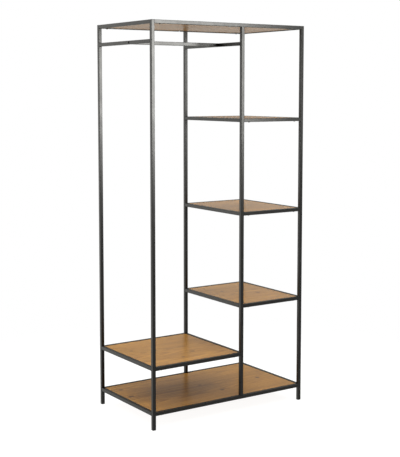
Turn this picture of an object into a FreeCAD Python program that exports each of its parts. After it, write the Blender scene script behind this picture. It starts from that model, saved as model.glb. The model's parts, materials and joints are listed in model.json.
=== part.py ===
import FreeCAD
import Part
import Sketcher
import os
import re

# Open clothes rack of square steel tube with oak-faced boards let into its shelf frames.
# Three ladders of welded tube stand in a row: left, middle and right. Front and back bars slide over
# spigots welded to the ladders and are locked by screws from below. A hanging rail is bolted between the
# left and the middle ladder.
# Millimetres, +X to the right, +Y to the back, +Z up, origin on the floor under the middle.

# Driving sizes: name, value, meaning
SIZES = (
    ("rack_width", 840, "overall width over the posts"),
    ("rack_depth", 486, "overall depth over the posts"),
    ("rack_height", 1800, "overall height from floor to cap"),
    ("tube_width", 16, "outside of every square tube"),
    ("tube_wall", 1.2, "wall of every square tube"),
    ("tube_corner", 1.6, "outside corner radius of every tube"),
    ("left_bay", 461, "clear width of the hanging bay"),
    ("bottom_level", 80, "top of the bottom shelf frame"),
    ("shelf_pitch", 430, "rise from one right-hand shelf to the next"),
    ("left_shelf_level", 283, "top of the shelf in the hanging bay"),
    ("hang_drop", 83, "top of the rack down to the top of the hanging rail"),
    ("rail_forward", 50, "hanging rail in front of the middle of the depth"),
    ("panel_thickness", 12, "board thickness"),
    ("panel_gap", 1, "open joint between a board and its frame"),
    ("panel_edge", 0.6, "broken edge round a board"),
    ("tab_length", 30, "support tab along its bar"),
    ("tab_reach", 25, "support tab out from its bar"),
    ("tab_thickness", 2, "support tab sheet"),
    ("tab_corner", 5, "cut free corners of a support tab"),
    ("tab_rise", 1, "underside of a bar up to its support tabs"),
    ("tab_inset", 45, "end of a bay in to the middle of a support tab"),
    ("tab_hole_reach", 15, "bar face out to the screw in its tab"),
    ("screw_diameter", 3.5, "board screw shank"),
    ("screw_cover", 3, "board left above a screw's tip"),
    ("screw_head_diameter", 7, "board screw head"),
    ("screw_head_height", 2, "board screw head"),
    ("screw_play", 0.05, "screws in the holes they bite, radius"),
    ("insert_play", 0.1, "spigots and nuts to the inside of a tube, each side"),
    ("spigot_length", 40, "spigot inside a tube's end"),
    ("spigot_wall", 1.5, "wall of a spigot"),
    ("lock_end", 8, "locking screw back from its spigot's free end"),
    ("lock_diameter", 4, "locking screw shank"),
    ("lock_tip", 2, "locking screw past the spigot's wall"),
    ("lock_head_diameter", 8, "locking screw head"),
    ("lock_head_height", 2, "locking screw head"),
    ("bolt_diameter", 6, "rail bolt shank"),
    ("bolt_bite", 10, "rail bolt into its nut"),
    ("bolt_head_diameter", 10, "rail bolt head"),
    ("bolt_head_height", 3, "rail bolt head"),
    ("bolt_play", 0.25, "bolts and locking screws in the tubes they pass, radius"),
    ("access_play", 0.5, "rail bolt head in its access hole, radius"),
    ("nut_length", 12, "nut in an end of the hanging rail"),
    ("glide_height", 4, "foot glide below the tube"),
    ("glide_edge", 1, "bevel under a foot glide"),
    ("cap_height", 3, "post cap above the tube"),
    ("cap_edge", 0.6, "bevel on a post cap"),
    ("plug_corner", 1, "cut corners of glides and caps"),
    ("prong_width", 2.6, "corner prongs of glides and caps"),
    ("prong_length", 12, "corner prongs of glides and caps"),
)
NAMES = [name for name, value, meaning in SIZES]

doc = FreeCAD.newDocument("ClothesRack")
sheet = doc.addObject("Spreadsheet::Sheet", "Sizes")
for row, (name, value, meaning) in enumerate(SIZES, start=1):
    sheet.set(f"A{row}", meaning)
    sheet.set(f"B{row}", str(value))
    sheet.setAlias(f"B{row}", name)
doc.recompute()

# Middle lines of the posts, seen from above
LEFT = "(tube_width / 2 - rack_width / 2)"
MIDDLE = "(tube_width * 3 / 2 + left_bay - rack_width / 2)"
RIGHT = "(rack_width / 2 - tube_width / 2)"
FRONT = "(tube_width / 2 - rack_depth / 2)"
BACK = "(rack_depth / 2 - tube_width / 2)"
ROWS = (("front", FRONT), ("back", BACK))

# Shelf frames: name, level of the frame's top, post lines at its two ends
SHELVES = (
    ("top", "rack_height", LEFT, RIGHT),
    ("upper_shelf", "(bottom_level + 3 * shelf_pitch)", MIDDLE, RIGHT),
    ("centre_shelf", "(bottom_level + 2 * shelf_pitch)", MIDDLE, RIGHT),
    ("lower_shelf", "(bottom_level + shelf_pitch)", MIDDLE, RIGHT),
    ("left_shelf", "left_shelf_level", LEFT, MIDDLE),
    ("bottom", "bottom_level", LEFT, RIGHT),
)
HANG_LEVEL = "(rack_height - hang_drop)"

TUBE_INSIDE = "(tube_width - 2 * tube_wall)"
INSERT_WIDTH = "(tube_width - 2 * tube_wall - 2 * insert_play)"
LOCK_REACH = "(spigot_length - lock_end)"
TAB_TOP = "(tab_rise + tab_thickness - tube_width)"

# Small round shanks, heads and holes are drawn with a few flat sides
HIDDEN_SIDES = 6
SEEN_SIDES = 12

PROFILE_PLANE = {"X": "YZ_Plane", "Y": "XZ_Plane", "Z": "XY_Plane"}
AXIS = {"X": FreeCAD.Vector(1, 0, 0), "Y": FreeCAD.Vector(0, 1, 0), "Z": FreeCAD.Vector(0, 0, 1)}
ALONG_X = FreeCAD.Rotation(AXIS["Y"], 90)
AGAINST_X = FreeCAD.Rotation(AXIS["Y"], -90)
UPWARDS = FreeCAD.Rotation()
HALF_TURN = FreeCAD.Rotation(AXIS["Z"], 180)
UPSIDE_DOWN = FreeCAD.Rotation(AXIS["X"], 180)
SPIGOT_UP = AGAINST_X
SPIGOT_DOWN = FreeCAD.Rotation(AXIS["X"] - AXIS["Z"], 180)
TINY = 1e-4

nodes = []


def bind(thing, field, text):
    """Bind a property to an expression whose sheet names become cell references."""
    def cell(match):
        return "Sizes." + match.group() if match.group() in NAMES else match.group()
    thing.setExpression(field, re.sub(r"[a-z_]+", cell, text))


def place(thing, x, y, z, turn=UPWARDS):
    """Put an object at bound coordinates, turned as given."""
    thing.Placement = FreeCAD.Placement(FreeCAD.Vector(), turn)
    for axis, text in zip("xyz", (x, y, z)):
        bind(thing, "Placement.Base." + axis, text)


def add(kind, label):
    """Add an object under its own label."""
    thing = doc.addObject(kind, label)
    thing.Label = label
    return thing


def sketch_on(body, plane, purpose):
    """Start a sketch on one of the body's own origin planes."""
    sketch = body.newObject("Sketcher::SketchObject", f"{body.Name}_{purpose}")
    origin_plane = [item for item in body.Origin.OriginFeatures if item.Role == plane][0]
    sketch.AttachmentSupport = (origin_plane, [""])
    sketch.MapMode = "FlatFace"
    return sketch


def rectangle(sketch, title, width, height):
    """Draw a rectangle about the sketch's origin, its two sizes bound."""
    corners = [FreeCAD.Vector(x, y, 0) for x, y in ((-1, -1), (1, -1), (1, 1), (-1, 1))]
    sides = [
        sketch.addGeometry(Part.LineSegment(corners[i], corners[(i + 1) % 4]), False)
        for i in range(4)
    ]
    for i, side in enumerate(sides):
        sketch.addConstraint(Sketcher.Constraint("Coincident", side, 2, sides[(i + 1) % 4], 1))
        level = "Vertical" if i % 2 else "Horizontal"
        sketch.addConstraint(Sketcher.Constraint(level, side))
    sketch.addConstraint(Sketcher.Constraint("Symmetric", sides[0], 1, sides[2], 1, -1, 1))
    for side, direction, size in ((sides[0], "DistanceX", width), (sides[1], "DistanceY", height)):
        index = sketch.addConstraint(Sketcher.Constraint(direction, side, 1, side, 2, 2.0))
        sketch.renameConstraint(index, f"{title}_{direction}")
        bind(sketch, f"Constraints.{title}_{direction}", size)


def pad(body, sketch, length, purpose, side="One side"):
    """Extrude a sketch by a bound length."""
    feature = body.newObject("PartDesign::Pad", f"{body.Name}_{purpose}")
    feature.Profile = sketch
    feature.SideType = side
    bind(feature, "Length", length)
    doc.recompute()
    return feature


def dress(body, kind, base, chosen, field, size, purpose):
    """Fillet or chamfer the edges of the base feature that the test picks out."""
    picked = [f"Edge{i}" for i, edge in enumerate(base.Shape.Edges, start=1) if chosen(edge)]
    feature = body.newObject("PartDesign::" + kind, f"{body.Name}_{purpose}")
    feature.Base = (base, picked)
    bind(feature, field, size)
    doc.recompute()
    return feature


def upright(edge):
    """True for an edge that runs straight up."""
    ends = [vertex.Point for vertex in edge.Vertexes]
    return len(ends) == 2 and (ends[1] - ends[0]).cross(AXIS["Z"]).Length < TINY


def copies(label, items):
    """Bundle of copies: every item is a master, its place and its turn."""
    links = []
    for i, (master, x, y, z, turn) in enumerate(items):
        link = add("App::Link", f"{label}_{i}")
        link.LinkedObject = master
        place(link, x, y, z, turn)
        links.append(link)
    bundle = add("Part::Compound", label)
    bundle.Links = links
    return bundle


def drilled(label, blank, holes):
    """Piece that is left when every hole is taken out of the blank."""
    piece = add("Part::Cut", label)
    piece.Base = blank
    piece.Tool = copies(label + "_holes", holes)
    doc.recompute()
    if piece.Shape.Volume > blank.Shape.Volume - TINY:
        raise RuntimeError(f"{label}: a hole cuts nothing")
    return piece


def prism(label, sides, diameter, height, z):
    """Upright bar of a few flat sides with bound sizes."""
    shape = add("Part::Prism", label)
    shape.Polygon = sides
    bind(shape, "Circumradius", f"({diameter}) / 2")
    bind(shape, "Height", height)
    place(shape, "0", "0", z)
    return shape


def wall_cutter(label, sides, diameter):
    """Cutter for one wall of a tube, from just outside the origin to the tube's middle."""
    return prism(label, sides, diameter, "tube_wall + tube_width / 2", "-tube_wall")


def headed(label, size, length, sides):
    """Bolt or screw pointing up, its head just under the origin."""
    fused = add("Part::Fuse", label)
    fused.Base = prism(label + "_shank", HIDDEN_SIDES, f"{size}_diameter", length, "0")
    fused.Tool = prism(label + "_head", sides, f"{size}_head_diameter", f"{size}_head_height",
                       f"-{size}_head_height")
    return fused


def tube(label, axis, length, x, y, z):
    """Square tube along one axis, its middle at the given place."""
    body = add("PartDesign::Body", label)
    profile = sketch_on(body, PROFILE_PLANE[axis], "profile")
    rectangle(profile, "outside", "tube_width", "tube_width")
    rectangle(profile, "inside", TUBE_INSIDE, TUBE_INSIDE)
    walls = pad(body, profile, length, "walls", "Symmetric")
    skin = (sheet.tube_width - sheet.tube_wall) / 2

    def outside_corner(edge):
        ends = [vertex.Point for vertex in edge.Vertexes]
        offset = ends[0] - AXIS[axis] * ends[0].dot(AXIS[axis])
        return (ends[1] - ends[0]).cross(AXIS[axis]).Length < TINY and offset.Length > skin * 2 ** 0.5

    dress(body, "Fillet", walls, outside_corner, "Radius", "tube_corner", "corners")
    place(body, x, y, z)
    return body


def plug(label, head, edge, x, y, z, turn=UPWARDS):
    """Moulded tube end: a head as wide as the tube, bevelled below, and four corner prongs above."""
    body = add("PartDesign::Body", label)
    outline = sketch_on(body, "XY_Plane", "outline")
    rectangle(outline, "head", "tube_width", "tube_width")
    block = pad(body, outline, head, "head")
    cornered = dress(body, "Chamfer", block, upright, "Size", "plug_corner", "corners")
    dress(body, "Chamfer", cornered, lambda rim: rim.BoundBox.ZMax < TINY, "Size", edge, "bevel")

    foot = sketch_on(body, "XY_Plane", "prong_foot")
    bind(foot, "AttachmentOffset.Base.z", head)
    for direction in "xy":
        bind(foot, "AttachmentOffset.Base." + direction, f"{INSERT_WIDTH} / 2 - prong_width / 2")
    rectangle(foot, "prong", "prong_width", "prong_width")
    prong = pad(body, foot, "prong_length", "prong")
    ring = body.newObject("PartDesign::PolarPattern", f"{body.Name}_prongs")
    ring.Originals = [prong]
    ring.Axis = ([item for item in body.Origin.OriginFeatures if item.Role == "Z_Axis"][0], [""])
    ring.Angle = 360
    ring.Occurrences = 4
    body.Tip = ring
    place(body, x, y, z, turn)
    return body


def board(label, x, width, depth, z):
    """Oak-faced board with broken edges, its underside at the given height."""
    body = add("PartDesign::Body", label)
    outline = sketch_on(body, "XY_Plane", "outline")
    rectangle(outline, "board", width, depth)
    slab = pad(body, outline, "panel_thickness", "slab")
    dress(body, "Chamfer", slab, lambda edge: not upright(edge), "Size", "panel_edge", "edges")
    place(body, x, "0", z)
    return body


def support_tab(hole):
    """Welded lug that reaches along +Y from a bar's face, drilled for a board screw."""
    body = add("PartDesign::Body", "support_tab_blank")
    outline = sketch_on(body, "XY_Plane", "outline")
    bind(outline, "AttachmentOffset.Base.y", "tab_reach / 2")
    rectangle(outline, "tab", "tab_length", "tab_reach")
    sheet_metal = pad(body, outline, "tab_thickness", "sheet")

    def free_corner(edge):
        return upright(edge) and edge.BoundBox.YMin > sheet.tab_reach / 2

    dress(body, "Chamfer", sheet_metal, free_corner, "Size", "tab_corner", "corners")
    return drilled("support_tab", body, [(hole, "0", "tab_hole_reach", "0", UPWARDS)])


def spigot(hole):
    """Short inner tube along +X from its welded end, tapped from below for a locking screw."""
    body = add("PartDesign::Body", "spigot_blank")
    profile = sketch_on(body, "YZ_Plane", "profile")
    bore = f"{INSERT_WIDTH} - 2 * spigot_wall"
    rectangle(profile, "outside", INSERT_WIDTH, INSERT_WIDTH)
    rectangle(profile, "inside", bore, bore)
    pad(body, profile, "spigot_length", "walls")
    return drilled("spigot", body, [(hole, LOCK_REACH, "0", f"-{INSERT_WIDTH} / 2", UPWARDS)])


def rail_nut():
    """Square steel block with a bore up its middle, seated on the origin."""
    block = add("Part::Box", "rail_nut_block")
    for field in ("Length", "Width"):
        bind(block, field, INSERT_WIDTH)
    bind(block, "Height", "nut_length")
    place(block, f"-{INSERT_WIDTH} / 2", f"-{INSERT_WIDTH} / 2", "0")
    bore = prism("rail_nut_bore", HIDDEN_SIDES, "bolt_diameter + 2 * screw_play", "nut_length", "0")
    return drilled("rail_nut", block, [(bore, "0", "0", "0", UPWARDS)])


# Cutters and the pieces that are used more than once
board_hole = prism("board_hole", HIDDEN_SIDES, "screw_diameter + 2 * screw_play",
                   "2 * tab_thickness + panel_thickness - screw_cover", "-tab_thickness")
tapped_hole = wall_cutter("tapped_hole", HIDDEN_SIDES, "lock_diameter + 2 * screw_play")
lock_hole = wall_cutter("lock_hole", HIDDEN_SIDES, "lock_diameter + 2 * bolt_play")
bolt_hole = wall_cutter("bolt_hole", HIDDEN_SIDES, "bolt_diameter + 2 * bolt_play")
access_hole = wall_cutter("access_hole", SEEN_SIDES, "bolt_head_diameter + 2 * access_play")
tab = support_tab(board_hole)
inner_tube = spigot(tapped_hole)
nut = rail_nut()
board_screw = headed("screw", "screw", "tab_thickness + panel_thickness - screw_cover", HIDDEN_SIDES)
lock_screw = headed("lock", "lock", "tube_wall + insert_play + spigot_wall + lock_tip", HIDDEN_SIDES)
bolt = headed("bolt", "bolt", "tube_wall + bolt_bite", SEEN_SIDES)
bar_spigots = []
post_spigots = []
locking_screws = []
board_screws = []

# Corner posts on glides and under caps
CORNER_TOP = "(rack_height - cap_height)"
for row_name, y in ROWS:
    for line_name, x in (("left", LEFT), ("right", RIGHT)):
        corner = f"{row_name}_{line_name}"
        height = f"{CORNER_TOP} - glide_height"
        middle = f"({CORNER_TOP} + glide_height) / 2"
        nodes.append(tube(corner + "_post", "Z", height, x, y, middle))
        nodes.append(plug(corner + "_foot_glide", "glide_height", "glide_edge", x, y, "0"))
        nodes.append(plug(corner + "_post_cap", "cap_height", "cap_edge", x, y, "rack_height",
                          UPSIDE_DOWN))

# Middle posts on spigots of the bottom bars and under spigots of the top bars
POST_FOOT = "bottom_level"
POST_TOP = "(rack_height - tube_width)"
POST_FACE = f"({MIDDLE} + tube_width / 2)"
for row_name, y in ROWS:
    label = row_name + "_middle_post"
    blank = tube(label + "_blank", "Z", f"{POST_TOP} - {POST_FOOT}", MIDDLE, y,
                 f"({POST_TOP} + {POST_FOOT}) / 2")
    post_spigots.append((inner_tube, MIDDLE, y, POST_FOOT, SPIGOT_UP))
    post_spigots.append((inner_tube, MIDDLE, y, POST_TOP, SPIGOT_DOWN))
    screws = [
        (lock_screw, POST_FACE, y, f"{POST_FOOT} + {LOCK_REACH}", AGAINST_X),
        (lock_screw, POST_FACE, y, f"{POST_TOP} - {LOCK_REACH}", AGAINST_X),
    ]
    locking_screws.extend(screws)
    nodes.append(drilled(label, blank, [(lock_hole, *screw[1:]) for screw in screws]))

# Shelf frames: four bars, a board, and the tabs that carry the board
SIDE_LENGTH = "(rack_depth - 2 * tube_width)"
BAR_FACE = "(rack_depth / 2 - tube_width)"
for name, level, start, end in SHELVES:
    middle = f"({start} + {end}) / 2"
    clear = f"({end} - {start} - tube_width)"
    bar_z = f"{level} - tube_width / 2"
    first_face = f"({start} + tube_width / 2)"
    last_face = f"({end} - tube_width / 2)"
    for row_name, y in ROWS:
        label = f"{name}_{row_name}_bar"
        blank = tube(label + "_blank", "X", clear, middle, y, bar_z)
        screws = [
            (lock_screw, f"{first_face} + {LOCK_REACH}", y, f"{level} - tube_width", UPWARDS),
            (lock_screw, f"{last_face} - {LOCK_REACH}", y, f"{level} - tube_width", UPWARDS),
        ]
        locking_screws.extend(screws)
        bar_spigots.append((inner_tube, first_face, y, bar_z, UPWARDS))
        bar_spigots.append((inner_tube, last_face, y, bar_z, HALF_TURN))
        nodes.append(drilled(label, blank, [(lock_hole, *screw[1:]) for screw in screws]))
    nodes.append(tube(f"{name}_left_bar", "Y", SIDE_LENGTH, start, "0", bar_z))
    nodes.append(tube(f"{name}_right_bar", "Y", SIDE_LENGTH, end, "0", bar_z))

    tab_columns = [f"({first_face} + tab_inset)", f"({last_face} - tab_inset)"]
    if (start, end) == (LEFT, RIGHT):
        tab_columns.append(f"({MIDDLE} - tube_width / 2 - tab_inset)")
    tab_z = f"{level} + {TAB_TOP} - tab_thickness"
    tabs = []
    screws = []
    for column in tab_columns:
        tabs.append((tab, column, f"-{BAR_FACE}", tab_z, UPWARDS))
        tabs.append((tab, column, BAR_FACE, tab_z, HALF_TURN))
        screws.append((board_screw, column, f"tab_hole_reach - {BAR_FACE}", tab_z, UPWARDS))
        screws.append((board_screw, column, f"{BAR_FACE} - tab_hole_reach", tab_z, UPWARDS))
    board_screws.extend(screws)
    nodes.append(copies(f"{name}_support_tabs", tabs))
    blank = board(f"{name}_board_blank", middle, f"{clear} - 2 * panel_gap",
                  f"{SIDE_LENGTH} - 2 * panel_gap", f"{level} + {TAB_TOP}")
    nodes.append(drilled(f"{name}_board", blank, [(board_hole, *screw[1:]) for screw in screws]))

# Hanging rail between two cross bars; its bolts go in through access holes and seat inside the bars
rail_y = "-rail_forward"
rail_z = f"{HANG_LEVEL} - tube_width / 2"
rail_start = f"({LEFT} + tube_width / 2)"
rail_end = f"({MIDDLE} - tube_width / 2)"
RAIL_ENDS = (
    ("left_hanger_bar", LEFT, f"({LEFT} - tube_width / 2)", rail_start, ALONG_X, AGAINST_X),
    ("middle_hanger_bar", MIDDLE, f"({MIDDLE} + tube_width / 2)", rail_end, AGAINST_X, ALONG_X),
)
for label, x, outer_face, rail_face, inwards, outwards in RAIL_ENDS:
    blank = tube(label + "_blank", "Y", SIDE_LENGTH, x, "0", rail_z)
    holes = [
        (access_hole, outer_face, rail_y, rail_z, inwards),
        (bolt_hole, rail_face, rail_y, rail_z, outwards),
    ]
    nodes.append(drilled(label, blank, holes))
nodes.append(tube("hanging_rail", "X", "left_bay", f"({rail_start} + {rail_end}) / 2", rail_y, rail_z))

# Spigots and fasteners, like ones together
nodes.append(copies("bar_spigots", bar_spigots))
nodes.append(copies("post_spigots", post_spigots))
nodes.append(copies("locking_screws", locking_screws))
nodes.append(copies("board_screws", board_screws))
nodes.append(copies("rail_bolts", [
    (bolt, f"{rail_start} - tube_wall", rail_y, rail_z, ALONG_X),
    (bolt, f"{rail_end} + tube_wall", rail_y, rail_z, AGAINST_X),
]))
nodes.append(copies("rail_nuts", [
    (nut, rail_start, rail_y, rail_z, ALONG_X),
    (nut, rail_end, rail_y, rail_z, AGAINST_X),
]))
doc.recompute()

# Every object has to be sound before anything is written
for thing in doc.Objects:
    if "Invalid" in thing.State or "Error" in thing.State:
        raise RuntimeError(f"{thing.Label} failed: {thing.State}")
for node in nodes:
    if node.Shape.isNull() or not node.Shape.isValid() or not node.Shape.Solids:
        raise RuntimeError(f"{node.Label} has no sound shape")

os.makedirs("parts", exist_ok=True)
for node in nodes:
    node.Shape.exportStep(f"parts/{node.Label}.step")
print(len(nodes), "nodes,", sum(len(node.Shape.Solids) for node in nodes), "solids")
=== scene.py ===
import json
import math

import bmesh
import bpy
from mathutils import Matrix, Vector

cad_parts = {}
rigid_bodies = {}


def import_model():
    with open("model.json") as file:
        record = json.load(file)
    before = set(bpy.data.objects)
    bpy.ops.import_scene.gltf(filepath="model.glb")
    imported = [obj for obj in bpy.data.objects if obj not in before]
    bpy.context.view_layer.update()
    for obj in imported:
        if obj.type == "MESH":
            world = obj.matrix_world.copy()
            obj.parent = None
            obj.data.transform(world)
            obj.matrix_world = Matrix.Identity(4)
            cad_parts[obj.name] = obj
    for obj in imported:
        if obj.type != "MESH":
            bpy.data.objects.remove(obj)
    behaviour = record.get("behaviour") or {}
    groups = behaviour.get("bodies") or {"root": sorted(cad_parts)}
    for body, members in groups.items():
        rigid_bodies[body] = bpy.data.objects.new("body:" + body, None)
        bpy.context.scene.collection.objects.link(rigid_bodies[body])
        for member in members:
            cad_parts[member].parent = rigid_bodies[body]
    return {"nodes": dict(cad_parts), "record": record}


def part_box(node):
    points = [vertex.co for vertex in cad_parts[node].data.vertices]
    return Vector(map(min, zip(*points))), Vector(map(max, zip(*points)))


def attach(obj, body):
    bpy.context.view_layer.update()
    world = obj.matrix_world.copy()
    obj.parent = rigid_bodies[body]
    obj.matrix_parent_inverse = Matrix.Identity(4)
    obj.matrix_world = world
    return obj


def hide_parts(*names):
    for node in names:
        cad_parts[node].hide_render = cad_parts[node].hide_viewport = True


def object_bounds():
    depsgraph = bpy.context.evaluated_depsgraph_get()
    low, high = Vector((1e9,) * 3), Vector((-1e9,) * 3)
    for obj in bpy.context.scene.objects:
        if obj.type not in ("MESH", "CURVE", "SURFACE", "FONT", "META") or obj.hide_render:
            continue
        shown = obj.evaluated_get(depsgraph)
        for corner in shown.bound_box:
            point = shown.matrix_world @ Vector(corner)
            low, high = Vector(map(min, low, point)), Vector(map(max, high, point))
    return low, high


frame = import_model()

bl_info = {
    "name": "Clothes rack",
    "version": (1, 0, 0),
    "blender": (4, 5, 0),
    "location": "3D View > Sidebar > Rack",
    "description": "Dresses an open clothes rack: finishes, welds, tabs, screws, glides, caps and a studio",
    "category": "Object",
}

CAD_LOW, CAD_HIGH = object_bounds()
SHELVES = ("top", "upper_shelf", "centre_shelf", "lower_shelf", "left_shelf", "bottom")
FULL_WIDTH = ("top", "bottom")
ROWS = ("front", "back")
SIDES = ("left", "right")
CROSS_BARS = (*(f"{shelf}_{side}_bar" for shelf in SHELVES for side in SIDES),
              "left_hanger_bar", "middle_hanger_bar")
TINY = 1e-5
SMOOTH_ANGLE = math.radians(35)
RIM_CORNERS = 24
CORNER_STEP = 360 / RIM_CORNERS
# Insets are measured square to the sides of a many-sided rim, not along its corners
TO_SIDE = math.cos(math.pi / RIM_CORNERS)
# Shares of the recess radius, corner by corner, that turn a ring of corners into a hexagon or a cross
HEXAGON = (1.0, 0.8966, 0.866, 0.8966)
CROSS = (1.0, 0.66, 0.44, 0.4, 0.44, 0.66)
# Width of a recess as a share of its head's
SCREW_RECESS = 0.55
LOCK_RECESS = 0.42
BOLT_RECESS = 0.46
# Crown and depth of the recess as shares of a head's height, and widths left at a recess's floor and a tip
CROWN = 0.6
RECESS_DEPTH = 0.7
RECESS_FLOOR = 0.8
TIP = 0.6
# Widths along a weld bead, and the share of its seam that it fills
RIPPLES = (1.0, 1.25, 1.08, 1.28, 1.1, 1.3, 1.1, 1.28, 1.08, 1.25, 1.0)
BEAD_START = 0.6
BEAD_END = 0.75
LADDER_SEAM = 0.84
TAB_SEAM = 0.8
# Rounding of a support tab's edges as a share of its thickness
TAB_EDGE = 1 / 8
# Ribs on the stem of a glide or cap: how many, lengths of their cone and lip, width left at the cone's end
RIBS = 4
RIB_CONE = 0.0022
RIB_LIP = 0.0008
RIB_NECK = 0.94
NOSE_LENGTH = 0.001
NOSE_WIDTH = 0.85
# Hollow in the outside of a glide or cap: rim as a share of the corner's rounding, depths, width left at
# its floor
RIM_SHARE = 0.6
GLIDE_HOLLOW = 0.0008
CAP_HOLLOW = 0.0002
HOLLOW_FLOOR = 0.97


def linear(code):
    """Linear colour of an sRGB hex value."""
    shares = [int(code[i:i + 2], 16) / 255 for i in (1, 3, 5)]
    return tuple(c / 12.92 if c <= 0.04045 else ((c + 0.055) / 1.055) ** 2.4 for c in shares)


class RackColours(bpy.types.PropertyGroup):
    """Colours of the finishes."""
    powder_coat: bpy.props.FloatVectorProperty(
        name="Powder coat", description="Black coat on the tubes", subtype="COLOR", size=3,
        default=linear("#0f0e0d"))
    oak_light: bpy.props.FloatVectorProperty(
        name="Oak, light", description="Early wood of the boards' oak face", subtype="COLOR", size=3,
        default=linear("#a77a37"))
    oak_dark: bpy.props.FloatVectorProperty(
        name="Oak, dark", description="Late wood and streaks of the oak face", subtype="COLOR", size=3,
        default=linear("#734b1a"))
    oak_pore: bpy.props.FloatVectorProperty(
        name="Oak, pores", description="Pores of the oak face", subtype="COLOR", size=3,
        default=linear("#5e3f21"))
    oak_knot: bpy.props.FloatVectorProperty(
        name="Oak, knots", description="Knots of the oak face", subtype="COLOR", size=3,
        default=linear("#42230f"))
    plastic: bpy.props.FloatVectorProperty(
        name="Plastic", description="Glides and caps", subtype="COLOR", size=3,
        default=linear("#161616"))
    blackened: bpy.props.FloatVectorProperty(
        name="Blackened steel", description="Locking screws and rail bolts", subtype="COLOR", size=3,
        default=linear("#3a3936"))
    zinc: bpy.props.FloatVectorProperty(
        name="Zinc plate", description="Board screws and rail nuts", subtype="COLOR", size=3,
        default=linear("#c9ccd0"))
    floor: bpy.props.FloatVectorProperty(
        name="Floor", description="Pale studio floor", subtype="COLOR", size=3,
        default=linear("#6b6b6a"))


class RackSizes(bpy.types.PropertyGroup):
    """Sizes of the pieces that dress the frame."""
    weld_radius: bpy.props.FloatProperty(
        name="Weld bead", description="Radius of a weld bead in its corner",
        default=0.002, unit="LENGTH")
    tab_inset: bpy.props.FloatProperty(
        name="Tab inset", description="End of a bay in to the middle of a support tab",
        default=0.045, unit="LENGTH")
    tab_length: bpy.props.FloatProperty(
        name="Tab length", description="Support tab along its bar", default=0.030, unit="LENGTH")
    tab_reach: bpy.props.FloatProperty(
        name="Tab reach", description="Support tab out from its bar", default=0.025, unit="LENGTH")
    tab_corner: bpy.props.FloatProperty(
        name="Tab corner", description="Rounded free corners of a support tab",
        default=0.005, unit="LENGTH")
    screw_reach: bpy.props.FloatProperty(
        name="Board screw reach", description="Bar face out to a board screw",
        default=0.015, unit="LENGTH")
    screw_head: bpy.props.FloatProperty(
        name="Board screw head", description="Diameter of a board screw's head",
        default=0.007, unit="LENGTH")
    screw_shank: bpy.props.FloatProperty(
        name="Board screw shank", description="Diameter of a board screw's shank",
        default=0.0035, unit="LENGTH")
    screw_length: bpy.props.FloatProperty(
        name="Board screw length", description="Board screw under its head", default=0.011, unit="LENGTH")
    lock_inset: bpy.props.FloatProperty(
        name="Locking screw inset", description="End of a tube in to its locking screw",
        default=0.032, unit="LENGTH")
    lock_head: bpy.props.FloatProperty(
        name="Locking screw head", description="Diameter of a locking screw's head",
        default=0.008, unit="LENGTH")
    lock_shank: bpy.props.FloatProperty(
        name="Locking screw shank", description="Diameter of a locking screw's shank",
        default=0.004, unit="LENGTH")
    lock_length: bpy.props.FloatProperty(
        name="Locking screw length", description="Locking screw under its head",
        default=0.0048, unit="LENGTH")
    head_height: bpy.props.FloatProperty(
        name="Screw head height", description="Height of the screws' heads", default=0.002, unit="LENGTH")
    bolt_head: bpy.props.FloatProperty(
        name="Rail bolt head", description="Diameter of a rail bolt's head", default=0.010, unit="LENGTH")
    bolt_head_height: bpy.props.FloatProperty(
        name="Rail bolt head height", description="Height of a rail bolt's head",
        default=0.003, unit="LENGTH")
    bolt_shank: bpy.props.FloatProperty(
        name="Rail bolt shank", description="Diameter of a rail bolt's shank",
        default=0.006, unit="LENGTH")
    bolt_length: bpy.props.FloatProperty(
        name="Rail bolt length", description="Rail bolt under its head", default=0.0112, unit="LENGTH")
    tube_wall: bpy.props.FloatProperty(
        name="Tube wall", description="Wall of the square tubes", default=0.0012, unit="LENGTH")
    plug_corner: bpy.props.FloatProperty(
        name="Plug corner", description="Upright corner radius of glides and caps",
        default=0.0016, unit="LENGTH")
    plug_stem: bpy.props.FloatProperty(
        name="Plug stem", description="Width of the ribbed stem of glides and caps inside the tube",
        default=0.0134, unit="LENGTH")
    glide_edge: bpy.props.FloatProperty(
        name="Glide edge", description="Rounding under a foot glide", default=0.001, unit="LENGTH")
    cap_edge: bpy.props.FloatProperty(
        name="Cap edge", description="Rounding on a post cap", default=0.0009, unit="LENGTH")


def add_node(tree, kind, inputs=None, **settings):
    """Add a node with its settings; an input is linked from a socket or set to a value."""
    made = tree.nodes.new(kind)
    for name, value in settings.items():
        setattr(made, name, value)
    for key, value in (inputs or {}).items():
        if isinstance(value, bpy.types.NodeSocket):
            tree.links.new(value, made.inputs[key])
        else:
            made.inputs[key].default_value = value
    return made


def opaque(colour):
    """Colour with a full fourth channel."""
    return (*colour, 1.0)


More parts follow.
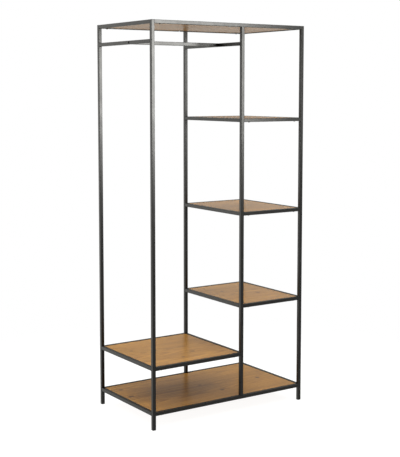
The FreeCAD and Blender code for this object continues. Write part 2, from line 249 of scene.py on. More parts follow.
# Powder-coated steel: sprayed dry and baked, so the eye sees a satin black skin with a soft, slightly
# uneven sheen and a shallow orange peel.
def powder_coat(tree, surface, colours):
    spot = add_node(tree, "ShaderNodeTexCoord").outputs["Object"]
    # Orange peel is about 1.5 mm across
    peel = add_node(tree, "ShaderNodeTexNoise", {"Vector": spot, "Scale": 1 / 0.0015, "Detail": 2.0})
    # The coat's thickness drifts over about 60 mm
    drift = add_node(tree, "ShaderNodeTexNoise", {"Vector": spot, "Scale": 1 / 0.06, "Detail": 3.0})
    deep = tuple(0.8 * c for c in colours.powder_coat)
    tint = add_node(tree, "ShaderNodeMix", {0: drift.outputs["Fac"], 6: opaque(deep),
                                            7: opaque(colours.powder_coat)}, data_type="RGBA")
    sheen = add_node(tree, "ShaderNodeMapRange", {"Value": drift.outputs["Fac"], "From Min": 0.3,
                                                  "From Max": 0.7, "To Min": 0.27, "To Max": 0.35})
    dimples = add_node(tree, "ShaderNodeBump", {"Height": peel.outputs["Fac"], "Strength": 0.3,
                                                "Distance": 0.0001})
    tree.links.new(tint.outputs[2], surface.inputs["Base Color"])
    tree.links.new(sheen.outputs[0], surface.inputs["Roughness"])
    tree.links.new(dimples.outputs[0], surface.inputs["Normal"])
    surface.inputs["IOR"].default_value = 1.46


# Widths of a stave and of a growth ring of the oak face, and a height that tells one board from the next
STAVE = 0.1215
RING = 0.011
STOREY = 0.2
# Knots of the oak face: place on a board's face and reach across the grain, in metres
KNOTS = (
    (-0.106, -0.084, 0.282, 0.014), (-0.200, -0.149, 0.282, 0.012), (-0.344, 0.075, 0.282, 0.010),
    (-0.372, 0.031, 0.079, 0.017), (-0.359, 0.153, 0.079, 0.014), (-0.001, 0.010, 0.079, 0.013),
    (0.046, -0.111, 0.079, 0.014), (0.311, -0.037, 0.079, 0.015), (0.174, 0.075, 0.509, 0.013),
    (0.306, -0.044, 0.509, 0.015), (0.189, 0.062, 0.939, 0.013), (0.300, -0.120, 1.369, 0.014),
    (-0.250, 0.060, 1.787, 0.015), (0.140, -0.090, 1.787, 0.013), (-0.150, 0.110, 1.799, 0.015),
    (0.260, -0.060, 1.799, 0.014),
)


# Oak-print face on chipboard, pressed matt: honey staves along the width, arched grain, fine dark pores and
# a few small knots that the grain swings round.
def oak_face(tree, surface, colours):
    spot = add_node(tree, "ShaderNodeTexCoord").outputs["Object"]
    axes = add_node(tree, "ShaderNodeSeparateXYZ", {"Vector": spot}).outputs
    across = add_node(tree, "ShaderNodeVectorMath", {0: spot, 1: (0.0, 1 / STAVE, 3.7)},
                      operation="DOT_PRODUCT").outputs["Value"]
    stave = add_node(tree, "ShaderNodeMath", {0: across}, operation="FLOOR").outputs[0]
    share = add_node(tree, "ShaderNodeMath", {0: across}, operation="FRACT").outputs[0]
    storey = add_node(tree, "ShaderNodeMath", {0: axes["Z"], 1: 1 / STOREY},
                      operation="MULTIPLY").outputs[0]
    storey = add_node(tree, "ShaderNodeMath", {0: storey}, operation="FLOOR").outputs[0]
    seed = add_node(tree, "ShaderNodeCombineXYZ", {0: 0.5, 1: stave, 2: storey}).outputs[0]
    tone = add_node(tree, "ShaderNodeTexWhiteNoise", {"Vector": seed}).outputs["Value"]

    knot = None
    for x, y, z, reach in KNOTS:
        away = add_node(tree, "ShaderNodeVectorMath", {0: spot, 1: (x, y, z)}, operation="SUBTRACT")
        away = add_node(tree, "ShaderNodeVectorMath", {0: away.outputs[0], 1: (0.7, 1.0, 1.0)},
                        operation="MULTIPLY")
        away = add_node(tree, "ShaderNodeVectorMath", {0: away.outputs[0]}, operation="LENGTH")
        near = add_node(tree, "ShaderNodeMapRange", {"Value": away.outputs["Value"], "From Min": reach,
                                                     "From Max": 0.2 * reach},
                        interpolation_type="SMOOTHSTEP")
        if knot is None:
            knot = near.outputs[0]
        else:
            knot = add_node(tree, "ShaderNodeMath", {0: knot, 1: near.outputs[0]},
                            operation="MAXIMUM").outputs[0]

    # Growth rings: a trunk cut along its length, deeper or shallower as the cut wanders, gives arches
    run = add_node(tree, "ShaderNodeCombineXYZ", {0: axes["X"], 1: stave, 2: storey}).outputs[0]
    run = add_node(tree, "ShaderNodeVectorMath", {0: run, 1: (1.6, 5.1, 3.7)}, operation="MULTIPLY")
    wander = add_node(tree, "ShaderNodeTexNoise", {"Vector": run.outputs[0], "Scale": 1.0, "Detail": 1.0})
    depth = add_node(tree, "ShaderNodeMapRange", {"Value": wander.outputs["Fac"], "From Min": 0.3,
                                                  "From Max": 0.7, "To Min": 0.008, "To Max": 0.075})
    heart = add_node(tree, "ShaderNodeMath", {0: share, 1: tone}, operation="SUBTRACT").outputs[0]
    heart = add_node(tree, "ShaderNodeMath", {0: heart, 1: STAVE}, operation="MULTIPLY").outputs[0]
    radius = add_node(tree, "ShaderNodeCombineXYZ", {0: heart, 1: depth.outputs[0], 2: 0.0})
    radius = add_node(tree, "ShaderNodeVectorMath", {0: radius.outputs[0]}, operation="LENGTH")
    bent = add_node(tree, "ShaderNodeVectorMath", {0: spot, 1: (6.0, 42.0, 42.0)}, operation="MULTIPLY")
    wave = add_node(tree, "ShaderNodeTexNoise", {"Vector": bent.outputs[0], "Scale": 1.0, "Detail": 3.0})
    swing = add_node(tree, "ShaderNodeMath", {0: wave.outputs["Fac"], 1: 0.009,
                                              2: radius.outputs["Value"]}, operation="MULTIPLY_ADD")
    swing = add_node(tree, "ShaderNodeMath", {0: knot, 1: 0.016, 2: swing.outputs[0]},
                     operation="MULTIPLY_ADD")
    turns = add_node(tree, "ShaderNodeMath", {0: swing.outputs[0], 1: math.tau / RING},
                     operation="MULTIPLY")
    ring = add_node(tree, "ShaderNodeMath", {0: turns.outputs[0]}, operation="SINE")
    late = add_node(tree, "ShaderNodeMapRange", {"Value": ring.outputs[0], "From Min": -0.6,
                                                 "From Max": 1.0, "To Max": 0.42})

    # Streaks about 14 mm across and 0.4 m long; pores 1 mm across and 25 mm long
    long_way = add_node(tree, "ShaderNodeVectorMath", {0: spot, 1: (2.4, 62.0, 62.0)},
                        operation="MULTIPLY")
    streak = add_node(tree, "ShaderNodeTexNoise", {"Vector": long_way.outputs[0], "Scale": 1.0,
                                                   "Detail": 5.0, "Roughness": 0.6})
    streak = add_node(tree, "ShaderNodeMapRange", {"Value": streak.outputs["Fac"], "From Min": 0.3,
                                                   "From Max": 0.75, "To Max": 0.62})
    fine_way = add_node(tree, "ShaderNodeVectorMath", {0: spot, 1: (40.0, 1000.0, 1000.0)},
                        operation="MULTIPLY")
    pore = add_node(tree, "ShaderNodeTexNoise", {"Vector": fine_way.outputs[0], "Scale": 1.0,
                                                 "Detail": 2.0})
    pore = add_node(tree, "ShaderNodeMapRange", {"Value": pore.outputs["Fac"], "From Min": 0.54,
                                                 "From Max": 0.72, "To Max": 0.5})

    grain = add_node(tree, "ShaderNodeMath", {0: late.outputs[0], 1: streak.outputs[0]},
                     operation="ADD", use_clamp=True)
    wood = add_node(tree, "ShaderNodeMix", {0: grain.outputs[0], 6: opaque(colours.oak_light),
                                            7: opaque(colours.oak_dark)}, data_type="RGBA")
    wood = add_node(tree, "ShaderNodeMix", {0: pore.outputs[0], 6: wood.outputs[2],
                                            7: opaque(colours.oak_pore)}, data_type="RGBA")
    # Staves differ in tone, and clouds about 70 mm across and 300 mm long drift over them
    broad_way = add_node(tree, "ShaderNodeVectorMath", {0: spot, 1: (3.2, 14.0, 14.0)},
                         operation="MULTIPLY")
    cloud = add_node(tree, "ShaderNodeTexNoise", {"Vector": broad_way.outputs[0], "Scale": 1.0,
                                                  "Detail": 2.0})
    bright = add_node(tree, "ShaderNodeMapRange", {"Value": tone, "To Min": 0.7, "To Max": 0.85})
    bright = add_node(tree, "ShaderNodeMath", {0: cloud.outputs["Fac"], 1: 0.45, 2: bright.outputs[0]},
                      operation="MULTIPLY_ADD")
    wood = add_node(tree, "ShaderNodeVectorMath", {0: wood.outputs[2], 3: bright.outputs[0]},
                    operation="SCALE")
    core = add_node(tree, "ShaderNodeMapRange", {"Value": knot, "From Min": 0.25, "From Max": 0.85,
                                                 "To Max": 0.92})
    wood = add_node(tree, "ShaderNodeMix", {0: core.outputs[0], 6: wood.outputs[0],
                                            7: opaque(colours.oak_knot)}, data_type="RGBA")
    matt = add_node(tree, "ShaderNodeMapRange", {"Value": pore.outputs[0], "From Max": 0.5,
                                                 "To Min": 0.32, "To Max": 0.46})
    pressed = add_node(tree, "ShaderNodeBump", {"Height": pore.outputs[0], "Strength": 0.2,
                                                "Distance": 0.0002}, invert=True)
    tree.links.new(wood.outputs[2], surface.inputs["Base Color"])
    tree.links.new(matt.outputs[0], surface.inputs["Roughness"])
    tree.links.new(pressed.outputs[0], surface.inputs["Normal"])
    surface.inputs["IOR"].default_value = 1.4


# Polypropylene, moulded in a spark-eroded tool: near black, matt, with a fine even grit.
def moulded_plastic(tree, surface, colours):
    spot = add_node(tree, "ShaderNodeTexCoord").outputs["Object"]
    # Tool grit is about 0.4 mm across
    grit = add_node(tree, "ShaderNodeTexNoise", {"Vector": spot, "Scale": 1 / 0.0004, "Detail": 2.0})
    worn = tuple(1.5 * c for c in colours.plastic)
    tint = add_node(tree, "ShaderNodeMix", {0: grit.outputs["Fac"], 6: opaque(colours.plastic),
                                            7: opaque(worn)}, data_type="RGBA")
    matt = add_node(tree, "ShaderNodeMapRange", {"Value": grit.outputs["Fac"], "To Min": 0.45,
                                                 "To Max": 0.65})
    bumps = add_node(tree, "ShaderNodeBump", {"Height": grit.outputs["Fac"], "Strength": 0.15,
                                              "Distance": 0.0001})
    tree.links.new(tint.outputs[2], surface.inputs["Base Color"])
    tree.links.new(matt.outputs[0], surface.inputs["Roughness"])
    tree.links.new(bumps.outputs[0], surface.inputs["Normal"])
    surface.inputs["IOR"].default_value = 1.49


# Chemically blackened steel: a dark, slightly cloudy skin that still glints as metal on its edges.
def blackened_steel(tree, surface, colours):
    spot = add_node(tree, "ShaderNodeTexCoord").outputs["Object"]
    # Clouds in the black skin are about 1 mm across
    cloud = add_node(tree, "ShaderNodeTexNoise", {"Vector": spot, "Scale": 1 / 0.001, "Detail": 4.0})
    deep = tuple(0.6 * c for c in colours.blackened)
    tint = add_node(tree, "ShaderNodeMix", {0: cloud.outputs["Fac"], 6: opaque(deep),
                                            7: opaque(colours.blackened)}, data_type="RGBA")
    sheen = add_node(tree, "ShaderNodeMapRange", {"Value": cloud.outputs["Fac"], "To Min": 0.3,
                                                  "To Max": 0.5})
    tree.links.new(tint.outputs[2], surface.inputs["Base Color"])
    tree.links.new(sheen.outputs[0], surface.inputs["Roughness"])
    surface.inputs["Metallic"].default_value = 1.0


# Bright zinc plate, barrel plated: pale blue-grey metal with a faint spangle and small rub marks.
def zinc_plate(tree, surface, colours):
    spot = add_node(tree, "ShaderNodeTexCoord").outputs["Object"]
    # Rub marks are about 0.8 mm across
    rubs = add_node(tree, "ShaderNodeTexNoise", {"Vector": spot, "Scale": 1 / 0.0008, "Detail": 5.0})
    dull = tuple(0.75 * c for c in colours.zinc)
    tint = add_node(tree, "ShaderNodeMix", {0: rubs.outputs["Fac"], 6: opaque(dull),
                                            7: opaque(colours.zinc)}, data_type="RGBA")
    sheen = add_node(tree, "ShaderNodeMapRange", {"Value": rubs.outputs["Fac"], "To Min": 0.22,
                                                  "To Max": 0.42})
    tree.links.new(tint.outputs[2], surface.inputs["Base Color"])
    tree.links.new(sheen.outputs[0], surface.inputs["Roughness"])
    surface.inputs["Metallic"].default_value = 1.0


FINISHES = {
    "powder_coated_steel": ("powder_coated_steel_satin_black", powder_coat),
    "oak_board": ("oak_print_board_pressed_matt", oak_face),
    "black_plastic": ("polypropylene_moulded_black", moulded_plastic),
    "blackened_steel": ("steel_blackened", blackened_steel),
    "zinc_plated_steel": ("steel_zinc_plated", zinc_plate),
}


def finish_of(slot):
    """Material of a slot, made the first time it is asked for."""
    name, build = FINISHES[slot]
    found = bpy.data.materials.get(name)
    if found:
        return found
    made = bpy.data.materials.new(name)
    made.use_nodes = True
    build(made.node_tree, made.node_tree.nodes["Principled BSDF"], bpy.context.scene.rack_colours)
    return made


def coat_nodes(names, slot):
    """Give frame nodes the finish of a slot."""
    for name in names:
        materials = frame["nodes"][name].data.materials
        materials.clear()
        materials.append(finish_of(slot))


def begin(add_primitive, **settings):
    """Add a primitive with nothing else selected and open it for editing."""
    if bpy.context.mode != "OBJECT":
        bpy.ops.object.mode_set(mode="OBJECT")
    bpy.ops.object.select_all(action="DESELECT")
    add_primitive(**settings)
    bpy.ops.object.mode_set(mode="EDIT")


def pick(kind, test):
    """Select the corners, edges or faces of the open mesh that pass the test."""
    bpy.ops.mesh.select_mode(type=kind)
    bpy.ops.mesh.select_all(action="DESELECT")
    data = bpy.context.object.data
    mesh = bmesh.from_edit_mesh(data)
    chosen = [part for part in {"VERT": mesh.verts, "EDGE": mesh.edges, "FACE": mesh.faces}[kind]
              if test(part)]
    if not chosen:
        raise RuntimeError(f"nothing to shape on {bpy.context.object.name}")
    for part in chosen:
        part.select_set(True)
    mesh.select_flush_mode()
    bmesh.update_edit_mesh(data)


def facing(direction, height):
    """Test for the flat face on the axis that looks up or down at a height."""
    def test(face):
        middle = face.calc_center_median()
        return (face.normal.z * direction > 0.99 and abs(middle.z - height) < TINY
                and math.hypot(middle.x, middle.y) < TINY)
    return test


def rim_at(height):
    """Test for the edges that lie flat at a height."""
    return lambda edge: all(abs(corner.co.z - height) < TINY for corner in edge.verts)


def uprights(edge):
    """Test for the edges that run straight up."""
    return (edge.verts[0].co - edge.verts[1].co).xy.length < TINY


def raise_face(step, scale=1.0):
    """Extrude the selected face straight up by a step and scale its end."""
    bpy.ops.mesh.extrude_region_move(TRANSFORM_OT_translate={"value": (0.0, 0.0, step)})
    if scale != 1.0:
        mesh = bmesh.from_edit_mesh(bpy.context.object.data)
        height = next(face for face in mesh.faces if face.select).calc_center_median().z
        bpy.ops.transform.resize(value=(scale, scale, 1.0), center_override=(0.0, 0.0, height))


def end(name):
    """Turn the faces outwards, leave edit mode and smooth the shallow edges."""
    bpy.ops.mesh.select_all(action="SELECT")
    bpy.ops.mesh.normals_make_consistent(inside=False)
    bpy.ops.object.mode_set(mode="OBJECT")
    bpy.ops.object.shade_smooth_by_angle(angle=SMOOTH_ANGLE)
    bpy.context.object.name = name
    return bpy.context.object


def set_out(pattern, places, slot):
    """Copy a finished piece to named places, each with its own mesh, and take the pattern away."""
    for name, node, matrix in places:
        piece = pattern.copy()
        piece.data = pattern.data.copy()
        piece.name = name
        piece.data.name = name
        piece.data.transform(matrix)
        piece.data.materials.append(finish_of(slot))
        bpy.context.scene.collection.objects.link(piece)
        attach(piece, "root")
        if node:
            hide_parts(node)
    bpy.data.objects.remove(pattern)


def headed_screw(head, height, shank, length, recess, shares):
    """Screw that points up, its domed head under the origin with a shaped recess in it."""
    begin(bpy.ops.mesh.primitive_cylinder_add, vertices=RIM_CORNERS, radius=head / 2, depth=height,
          end_fill_type="NGON")
    bpy.ops.transform.translate(value=(0.0, 0.0, -height / 2))
    pick("EDGE", rim_at(-height))
    crown = CROWN * height
    bpy.ops.mesh.bevel(offset=crown, segments=4, affect="EDGES")
    pick("FACE", facing(-1, -height))
    bpy.ops.mesh.inset(thickness=(head - recess) / 2 * TO_SIDE - crown)
    for turn, share in enumerate(shares):
        if share == 1.0:
            continue

        def on_turn(corner):
            angle = math.degrees(math.atan2(corner.co.y, corner.co.x))
            on_ring = abs(corner.co.xy.length - recess / 2) < TINY
            return (on_ring and abs(corner.co.z + height) < TINY
                    and round(angle / CORNER_STEP) % len(shares) == turn)

        pick("VERT", on_turn)
        bpy.ops.transform.resize(value=(share, share, 1.0), center_override=(0.0, 0.0, -height))
    pick("FACE", facing(-1, -height))
    raise_face(RECESS_DEPTH * height, RECESS_FLOOR)
    pick("FACE", facing(1, 0.0))
    bpy.ops.mesh.inset(thickness=(head - shank) / 2 * TO_SIDE)
    tip = shank / 4
    raise_face(length - tip)
    raise_face(tip, TIP)


def weld_bead(radius, length):
    """Rippled bead along Z about the origin, thinner at its two ends."""
    thin = BEAD_START * radius
    begin(bpy.ops.mesh.primitive_circle_add, vertices=12, radius=thin, fill_type="NGON")
    bpy.ops.transform.translate(value=(0.0, 0.0, -length / 2))
    pick("FACE", lambda face: True)
    last = thin
    for ripple in (*RIPPLES, BEAD_END):
        width = radius * ripple / max(RIPPLES)
        raise_face(length / (len(RIPPLES) + 1), width / last)
        last = width


def tube_plug(width, height, edge, hollow, sizes):
    """Moulded tube end with its outside at the origin, looking down, and a ribbed stem above."""
    begin(bpy.ops.mesh.primitive_cube_add, size=1.0)
    bpy.ops.transform.resize(value=(width, width, height))
    bpy.ops.transform.translate(value=(0.0, 0.0, height / 2))
    pick("EDGE", uprights)
    bpy.ops.mesh.bevel(offset=sizes.plug_corner, segments=5, affect="EDGES")
    pick("EDGE", rim_at(0.0))
    bpy.ops.mesh.bevel(offset=edge, segments=3, affect="EDGES")
    # The rim is narrower than what is left of the corner's rounding, so the inset doesn't cross itself
    pick("FACE", facing(-1, 0.0))
    bpy.ops.mesh.inset(thickness=RIM_SHARE * (sizes.plug_corner - edge))
    raise_face(hollow, HOLLOW_FLOOR)
    pick("FACE", facing(1, height))
    bpy.ops.mesh.inset(thickness=(width - sizes.plug_stem) / 2)
    for _ in range(RIBS):
        raise_face(RIB_CONE, RIB_NECK)
        raise_face(RIB_LIP, 1 / RIB_NECK)
    raise_face(NOSE_LENGTH, NOSE_WIDTH)


class RACK_OT_coat_frame(bpy.types.Operator):
    """Powder coat the posts, bars, rail and spigots"""
    bl_idname = "rack.coat_frame"
    bl_label = "Coat the frame"

    def execute(self, context):
        coat_nodes([part["node"] for part in frame["record"]["subparts"]
                    if part["material_slot"] == "powder_coated_steel"], "powder_coated_steel")
        return {"FINISHED"}


class RACK_OT_face_boards(bpy.types.Operator):
    """Face the six boards with oak"""
    bl_idname = "rack.face_boards"
    bl_label = "Face the boards"

    def execute(self, context):
        coat_nodes([f"{shelf}_board" for shelf in SHELVES], "oak_board")
        return {"FINISHED"}


class RACK_OT_plate_nuts(bpy.types.Operator):
    """Zinc plate the nuts inside the hanging rail"""
    bl_idname = "rack.plate_nuts"
    bl_label = "Plate the rail nuts"

    def execute(self, context):
        coat_nodes(["rail_nuts"], "zinc_plated_steel")
        return {"FINISHED"}


class RACK_OT_weld_ladders(bpy.types.Operator):
    """Lay weld beads in the corners between the cross bars and the posts"""
    bl_idname = "rack.weld_ladders"
    bl_label = "Weld the ladders"

    def execute(self, context):
        radius = context.scene.rack_sizes.weld_radius
        lay = Matrix.Rotation(math.radians(90), 4, "Y")
        places = []
        for bar in CROSS_BARS:
            low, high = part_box(bar)
            middle = (low.x + high.x) / 2
            for row, y in zip(ROWS, (low.y, high.y)):
                corners = [("under", low.z)]
                if high.z < CAD_HIGH.z - radius:
                    corners.append(("over", high.z))
                for corner, z in corners:
                    name = f"{bar}_{row}_weld_{corner}"
                    places.append((name, None, Matrix.Translation((middle, y, z)) @ lay))
        weld_bead(radius, LADDER_SEAM * (high.x - low.x))
        set_out(end("weld_bead"), places, "powder_coated_steel")
        return {"FINISHED"}


def tab_columns(shelf, inset):
    """Places along a shelf's bars where its support tabs sit."""
    low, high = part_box(f"{shelf}_front_bar")
    columns = [low.x + inset, high.x - inset]
    if shelf in FULL_WIDTH:
        columns.append(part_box("front_middle_post")[0].x - inset)
    return columns


class RACK_OT_support_tabs(bpy.types.Operator):
    """Make the welded tabs that carry the boards"""
    bl_idname = "rack.support_tabs"
    bl_label = "Support tabs"

    def execute(self, context):
        sizes = context.scene.rack_sizes
        places = []
        for shelf in SHELVES:
            node = f"{shelf}_support_tabs"
            low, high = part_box(node)
            for number, x in enumerate(tab_columns(shelf, sizes.tab_inset), start=1):
                for row, y, turn in zip(ROWS, (low.y, high.y), (0, 180)):
                    matrix = (Matrix.Translation((x, y, low.z))
                              @ Matrix.Rotation(math.radians(turn), 4, "Z"))
                    places.append((f"{shelf}_{row}_tab_{number}", node, matrix))
        thick = high.z - low.z

        weld_bead(thick / 2, TAB_SEAM * sizes.tab_length)
        bead = end("tab_weld")
        bead.data.transform(Matrix.Rotation(math.radians(90), 4, "Y"))

        begin(bpy.ops.mesh.primitive_cube_add, size=1.0)
        bpy.ops.transform.resize(value=(sizes.tab_length, sizes.tab_reach, thick))
        bpy.ops.transform.translate(value=(0.0, sizes.tab_reach / 2, thick / 2))
        pick("EDGE", lambda edge: uprights(edge) and edge.verts[0].co.y > TINY)
        bpy.ops.mesh.bevel(offset=sizes.tab_corner, segments=6, affect="EDGES")
        pick("EDGE", lambda edge: not uprights(edge) and max(c.co.y for c in edge.verts) > TINY)
        bpy.ops.mesh.bevel(offset=TAB_EDGE * thick, segments=2, affect="EDGES")
        tab = end("support_tab")
        bead.select_set(True)
        bpy.ops.object.join()
        set_out(tab, places, "powder_coated_steel")
        return {"FINISHED"}


class RACK_OT_board_screws(bpy.types.Operator):
    """Drive pan-head screws up through the tabs into the boards"""
    bl_idname = "rack.board_screws"
    bl_label = "Board screws"

    def execute(self, context):
        sizes = context.scene.rack_sizes
        places = []
        for shelf in SHELVES:
            low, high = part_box(f"{shelf}_support_tabs")
            for number, x in enumerate(tab_columns(shelf, sizes.tab_inset), start=1):
                for row, y in zip(ROWS, (low.y + sizes.screw_reach, high.y - sizes.screw_reach)):
                    matrix = Matrix.Translation((x, y, low.z))
                    places.append((f"{shelf}_{row}_screw_{number}", "board_screws", matrix))
        headed_screw(sizes.screw_head, sizes.head_height, sizes.screw_shank, sizes.screw_length,
                     SCREW_RECESS * sizes.screw_head, CROSS)
        set_out(end("board_screw"), places, "zinc_plated_steel")
        return {"FINISHED"}


class RACK_OT_locking_screws(bpy.types.Operator):
    """Drive socket screws through the ends of the bars and middle posts into the spigots"""
    bl_idname = "rack.locking_screws"
    bl_label = "Locking screws"

    def execute(self, context):
        sizes = context.scene.rack_sizes
        inset = sizes.lock_inset
        places = []
        for shelf in SHELVES:
            for row in ROWS:
                low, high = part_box(f"{shelf}_{row}_bar")
                y = (low.y + high.y) / 2
                for side, x in zip(SIDES, (low.x + inset, high.x - inset)):
                    matrix = Matrix.Translation((x, y, low.z))
                    places.append((f"{shelf}_{row}_{side}_lock_screw", "locking_screws", matrix))
        sideways = Matrix.Rotation(math.radians(-90), 4, "Y")
        for row in ROWS:
            low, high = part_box(f"{row}_middle_post")
            y = (low.y + high.y) / 2
            for part, z in zip(("foot", "top"), (low.z + inset, high.z - inset)):
                matrix = Matrix.Translation((high.x, y, z)) @ sideways
                places.append((f"{row}_middle_post_{part}_lock_screw", "locking_screws", matrix))
        headed_screw(sizes.lock_head, sizes.head_height, sizes.lock_shank, sizes.lock_length,
                     LOCK_RECESS * sizes.lock_head, HEXAGON)
        set_out(end("lock_screw"), places, "blackened_steel")
        return {"FINISHED"}


class RACK_OT_rail_bolts(bpy.types.Operator):
    """Seat the socket bolts that hold the hanging rail inside the cross bars"""
    bl_idname = "rack.rail_bolts"
    bl_label = "Rail bolts"

    def execute(self, context):
        sizes = context.scene.rack_sizes
        low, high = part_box("hanging_rail")
        places = []
        ends = (("left", low.x - sizes.tube_wall, 90), ("middle", high.x + sizes.tube_wall, -90))
        for side, x, turn in ends:
            matrix = Matrix.Translation((x, (low.y + high.y) / 2, (low.z + high.z) / 2))
            matrix = matrix @ Matrix.Rotation(math.radians(turn), 4, "Y")
            places.append((f"rail_{side}_bolt", "rail_bolts", matrix))
        headed_screw(sizes.bolt_head, sizes.bolt_head_height, sizes.bolt_shank, sizes.bolt_length,
                     BOLT_RECESS * sizes.bolt_head, HEXAGON)
        set_out(end("rail_bolt"), places, "blackened_steel")
        return {"FINISHED"}


class RACK_OT_foot_glides(bpy.types.Operator):
    """Push moulded glides into the feet of the corner posts"""
    bl_idname = "rack.foot_glides"
    bl_label = "Foot glides"

    def execute(self, context):
        sizes = context.scene.rack_sizes
        places = []
        for row in ROWS:
            for side in SIDES:
                node = f"{row}_{side}_foot_glide"
                low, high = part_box(node)
                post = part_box(f"{row}_{side}_post")[0]
                matrix = Matrix.Translation(((low.x + high.x) / 2, (low.y + high.y) / 2, low.z))
                places.append((f"{row}_{side}_glide", node, matrix))
        tube_plug(high.x - low.x, post.z - low.z, sizes.glide_edge, GLIDE_HOLLOW, sizes)
        set_out(end("foot_glide"), places, "black_plastic")
        return {"FINISHED"}


class RACK_OT_post_caps(bpy.types.Operator):
    """Push moulded caps into the tops of the corner posts"""
    bl_idname = "rack.post_caps"
    bl_label = "Post caps"

    def execute(self, context):
        sizes = context.scene.rack_sizes
        turn = Matrix.Rotation(math.radians(180), 4, "X")
        places = []
        for row in ROWS:
            for side in SIDES:
                node = f"{row}_{side}_post_cap"
                low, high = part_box(node)
                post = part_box(f"{row}_{side}_post")[1]
                matrix = Matrix.Translation(((low.x + high.x) / 2, (low.y + high.y) / 2, high.z))
                places.append((f"{row}_{side}_cap", node, matrix @ turn))
        tube_plug(high.x - low.x, high.z - post.z, sizes.cap_edge, CAP_HOLLOW, sizes)
        set_out(end("post_cap"), places, "black_plastic")
        return {"FINISHED"}


# Camera fitted to the posts and bars in the photograph
CAMERA_PLACE = (-2.7266, -4.0422, 1.4933)
CAMERA_YAW = 33.932
CAMERA_DIP = 5.308
CAMERA_LENS = 81.308
CAMERA_SHIFT = -0.09
# Softboxes: name, middle, point they face, width, height, radiance before a grid narrows and strengthens it,
# spread in degrees, pieces they light. Tubes and boards have their own, so what brings out the tubes doesn't
# bleach the boards. Those with a grid are mirrored by their pieces, and the grid keeps them from flaring in
# views from elsewhere. The under softbox lights the top's underside, and the sheen softbox stands where the
# boards mirror it to the camera.
OPEN = 180
SOFTBOXES = (
    ("metal_softbox", (0.76, -2.45, 1.7), (-0.54, -0.315, 1.72), 1.5, 1.1, 1.6, 50, "metal_light"),
    ("board_softbox", (0.75, -2.45, 2.2), (-0.1, 0.0, 1.2), 2.2, 2.2, 1.8, OPEN, "board_light"),
    ("fill_softbox", (-2.6, -0.7, 0.8), (-0.2, 0.0, 0.3), 1.4, 1.0, 8.0, OPEN, "board_light"),
    ("under_softbox", (0.4, -1.6, 0.15), (0.0, 0.0, 1.8), 1.2, 1.0, 5.0, OPEN, "board_light"),
    ("sheen_softbox", (3.2, 4.04, 1.45), (0.1, 0.0, 1.0), 2.6, 1.1, 0.034, 40, "board_light"),
)
# Studio round the rack: white where the camera looks at it. Its light is strong overhead, dim above the
# horizon and moderate along it and below. Each pair is the sine of a height and the light there.
ROOM_LIGHT = (
    (-1.0, 0.5), (-0.6, 0.5), (-0.4, 0.45), (-0.1, 0.62), (0.0, 0.76),
    (0.13, 0.4), (0.28, 0.12), (0.5, 0.12), (0.75, 2.4), (1.0, 2.4),
)
# Bright wall to the back and left: way to its middle, cosines of the angle from there where it begins and is
# full, and the light that it adds
WALL_SIDE = (-0.50, 0.80, 0.33)
WALL_EDGE = 0.7
WALL_FULL = 0.9
WALL_LIGHT = 0.95
WARM_WHITE = (1.0, 0.995, 0.95)
WHITE = (1.0, 1.0, 1.0)
# The floor is solid out to the first radius and gone at the second; its glow keeps the rack's shadow faint
FLOOR_SOLID = 0.6
FLOOR_RADIUS = 1.8
FLOOR_GLOW = 0.92


# Matt paint on a board floor, rolled, with a glow of its own: the eye sees an even, nearly white ground that
# fades out to the white of the studio.
def floor_paint(tree, surface, colours):
    spot = add_node(tree, "ShaderNodeTexCoord").outputs["Object"]
    # Roller marks are about 80 mm across
    rolled = add_node(tree, "ShaderNodeTexNoise", {"Vector": spot, "Scale": 1 / 0.08, "Detail": 3.0})
    dull = tuple(0.98 * c for c in colours.floor)
    tint = add_node(tree, "ShaderNodeMix", {0: rolled.outputs["Fac"], 6: opaque(dull),
                                            7: opaque(colours.floor)}, data_type="RGBA")
    away = add_node(tree, "ShaderNodeVectorMath", {0: spot}, operation="LENGTH")
    solid = add_node(tree, "ShaderNodeMapRange", {"Value": away.outputs["Value"], "From Min": FLOOR_SOLID,
                                                  "From Max": FLOOR_RADIUS, "To Min": 1.0,
                                                  "To Max": 0.0}, interpolation_type="SMOOTHSTEP")
    tree.links.new(tint.outputs[2], surface.inputs["Base Color"])
    tree.links.new(solid.outputs[0], surface.inputs["Alpha"])
    surface.inputs["Roughness"].default_value = 0.9
    surface.inputs["Specular IOR Level"].default_value = 0.1
    surface.inputs["Emission Color"].default_value = opaque(WHITE)
    surface.inputs["Emission Strength"].default_value = FLOOR_GLOW


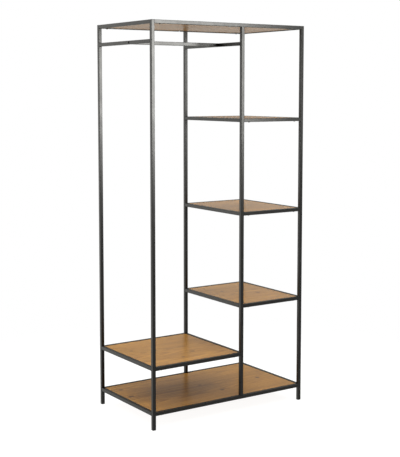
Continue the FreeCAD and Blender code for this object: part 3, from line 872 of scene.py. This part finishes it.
# Studio room: a white backdrop all round for the camera, and for the pieces the light of a dim room with a
# bright ceiling and a bright wall.
def studio_room(tree):
    side = add_node(tree, "ShaderNodeTexCoord").outputs["Generated"]
    height = add_node(tree, "ShaderNodeSeparateXYZ", {"Vector": side}).outputs["Z"]
    glow = ROOM_LIGHT[0][1]
    for (low, lower), (high, upper) in zip(ROOM_LIGHT, ROOM_LIGHT[1:]):
        step = add_node(tree, "ShaderNodeMapRange", {"Value": height, "From Min": low, "From Max": high,
                                                     "To Max": upper - lower},
                        interpolation_type="SMOOTHSTEP")
        glow = add_node(tree, "ShaderNodeMath", {0: step.outputs[0], 1: glow}, operation="ADD").outputs[0]
    along = add_node(tree, "ShaderNodeVectorMath", {0: side, 1: WALL_SIDE}, operation="DOT_PRODUCT")
    wall = add_node(tree, "ShaderNodeMapRange", {"Value": along.outputs["Value"], "From Min": WALL_EDGE,
                                                 "From Max": WALL_FULL, "To Max": WALL_LIGHT},
                    interpolation_type="SMOOTHSTEP")
    glow = add_node(tree, "ShaderNodeMath", {0: glow, 1: wall.outputs[0]}, operation="ADD")
    lit = add_node(tree, "ShaderNodeBackground", {"Strength": glow.outputs[0]})
    white = add_node(tree, "ShaderNodeBackground", {"Strength": 1.0})
    for backdrop, colour in ((lit, WARM_WHITE), (white, WHITE)):
        backdrop.inputs["Color"].default_value = opaque(colour)
    seen = add_node(tree, "ShaderNodeLightPath").outputs["Is Camera Ray"]
    both = add_node(tree, "ShaderNodeMixShader", {0: seen, 1: lit.outputs[0], 2: white.outputs[0]})
    tree.links.new(both.outputs[0], tree.nodes["World Output"].inputs["Surface"])


class RACK_OT_stage(bpy.types.Operator):
    """Set the pale floor, the soft studio light and the camera"""
    bl_idname = "rack.stage"
    bl_label = "Studio"

    def execute(self, context):
        scene = context.scene
        bpy.ops.object.select_all(action="DESELECT")
        bpy.ops.mesh.primitive_circle_add(vertices=128, radius=FLOOR_RADIUS, fill_type="NGON")
        floor = context.object
        floor.name = "floor"
        paint = bpy.data.materials.new("matt_white_floor_paint")
        paint.use_nodes = True
        floor_paint(paint.node_tree, paint.node_tree.nodes["Principled BSDF"], scene.rack_colours)
        # Rays that leave the pieces find light as broad as this with less grain than picked points do
        paint.cycles.emission_sampling = "NONE"
        floor.data.materials.append(paint)
        # Dark pieces would mirror the lit floor and lose their weight near the ground
        floor.visible_glossy = False

        lit = {name: bpy.data.collections.new(name) for name in ("metal_light", "board_light")}
        # The tops of the cross bars would flare in views from behind
        cross_bars = [frame["nodes"][name] for name in CROSS_BARS]
        for piece in scene.objects:
            if piece.type == "MESH" and piece not in cross_bars:
                pale = piece == floor or finish_of("oak_board") in piece.data.materials[:]
                lit["board_light" if pale else "metal_light"].objects.link(piece)
        for name, middle, aim, width, height, radiance, spread, pieces in SOFTBOXES:
            towards = Vector(aim) - Vector(middle)
            bpy.ops.object.light_add(type="AREA", location=middle,
                                     rotation=towards.to_track_quat("-Z", "Y").to_euler())
            context.object.name = name
            context.object.visible_camera = False
            context.object.visible_glossy = spread < OPEN
            context.object.light_linking.receiver_collection = lit[pieces]
            light = context.object.data
            light.shape = "RECTANGLE"
            light.size = width
            light.size_y = height
            light.spread = math.radians(spread)
            light.color = WARM_WHITE
            light.energy = radiance * math.pi * width * height

        room = bpy.data.worlds.new("white_studio")
        room.use_nodes = True
        # This light is broad too
        room.cycles.sampling_method = "NONE"
        studio_room(room.node_tree)
        scene.world = room
        scene.view_settings.view_transform = "Standard"

        turn = (math.radians(90 - CAMERA_DIP), 0.0, math.radians(-CAMERA_YAW))
        bpy.ops.object.camera_add(location=CAMERA_PLACE, rotation=turn)
        camera = context.object
        camera.name = "camera"
        camera.data.lens = CAMERA_LENS
        camera.data.shift_y = CAMERA_SHIFT
        scene.camera = camera
        return {"FINISHED"}


OPERATORS = (
    RACK_OT_coat_frame, RACK_OT_face_boards, RACK_OT_plate_nuts, RACK_OT_weld_ladders,
    RACK_OT_support_tabs, RACK_OT_board_screws, RACK_OT_locking_screws, RACK_OT_rail_bolts,
    RACK_OT_foot_glides, RACK_OT_post_caps, RACK_OT_stage,
)


class RACK_PT_pieces(bpy.types.Panel):
    """Lists the rack's pieces, sizes and colours"""
    bl_idname = "RACK_PT_pieces"
    bl_label = "Clothes rack"
    bl_space_type = "VIEW_3D"
    bl_region_type = "UI"
    bl_category = "Rack"

    def draw(self, context):
        for operator in OPERATORS:
            self.layout.operator(operator.bl_idname)
        for group in (context.scene.rack_sizes, context.scene.rack_colours):
            for name in group.__annotations__:
                self.layout.prop(group, name)


CLASSES = (RackColours, RackSizes, *OPERATORS, RACK_PT_pieces)


def register():
    for each in CLASSES:
        bpy.utils.register_class(each)
    bpy.types.Scene.rack_sizes = bpy.props.PointerProperty(type=RackSizes)
    bpy.types.Scene.rack_colours = bpy.props.PointerProperty(type=RackColours)


def unregister():
    del bpy.types.Scene.rack_colours
    del bpy.types.Scene.rack_sizes
    for each in reversed(CLASSES):
        bpy.utils.unregister_class(each)


def main():
    register()
    bpy.ops.rack.coat_frame()
    bpy.ops.rack.face_boards()
    bpy.ops.rack.plate_nuts()
    bpy.ops.rack.weld_ladders()
    bpy.ops.rack.support_tabs()
    bpy.ops.rack.board_screws()
    bpy.ops.rack.locking_screws()
    bpy.ops.rack.rail_bolts()
    bpy.ops.rack.foot_glides()
    bpy.ops.rack.post_caps()
    bpy.ops.rack.stage()


if __name__ == "__main__":
    main()
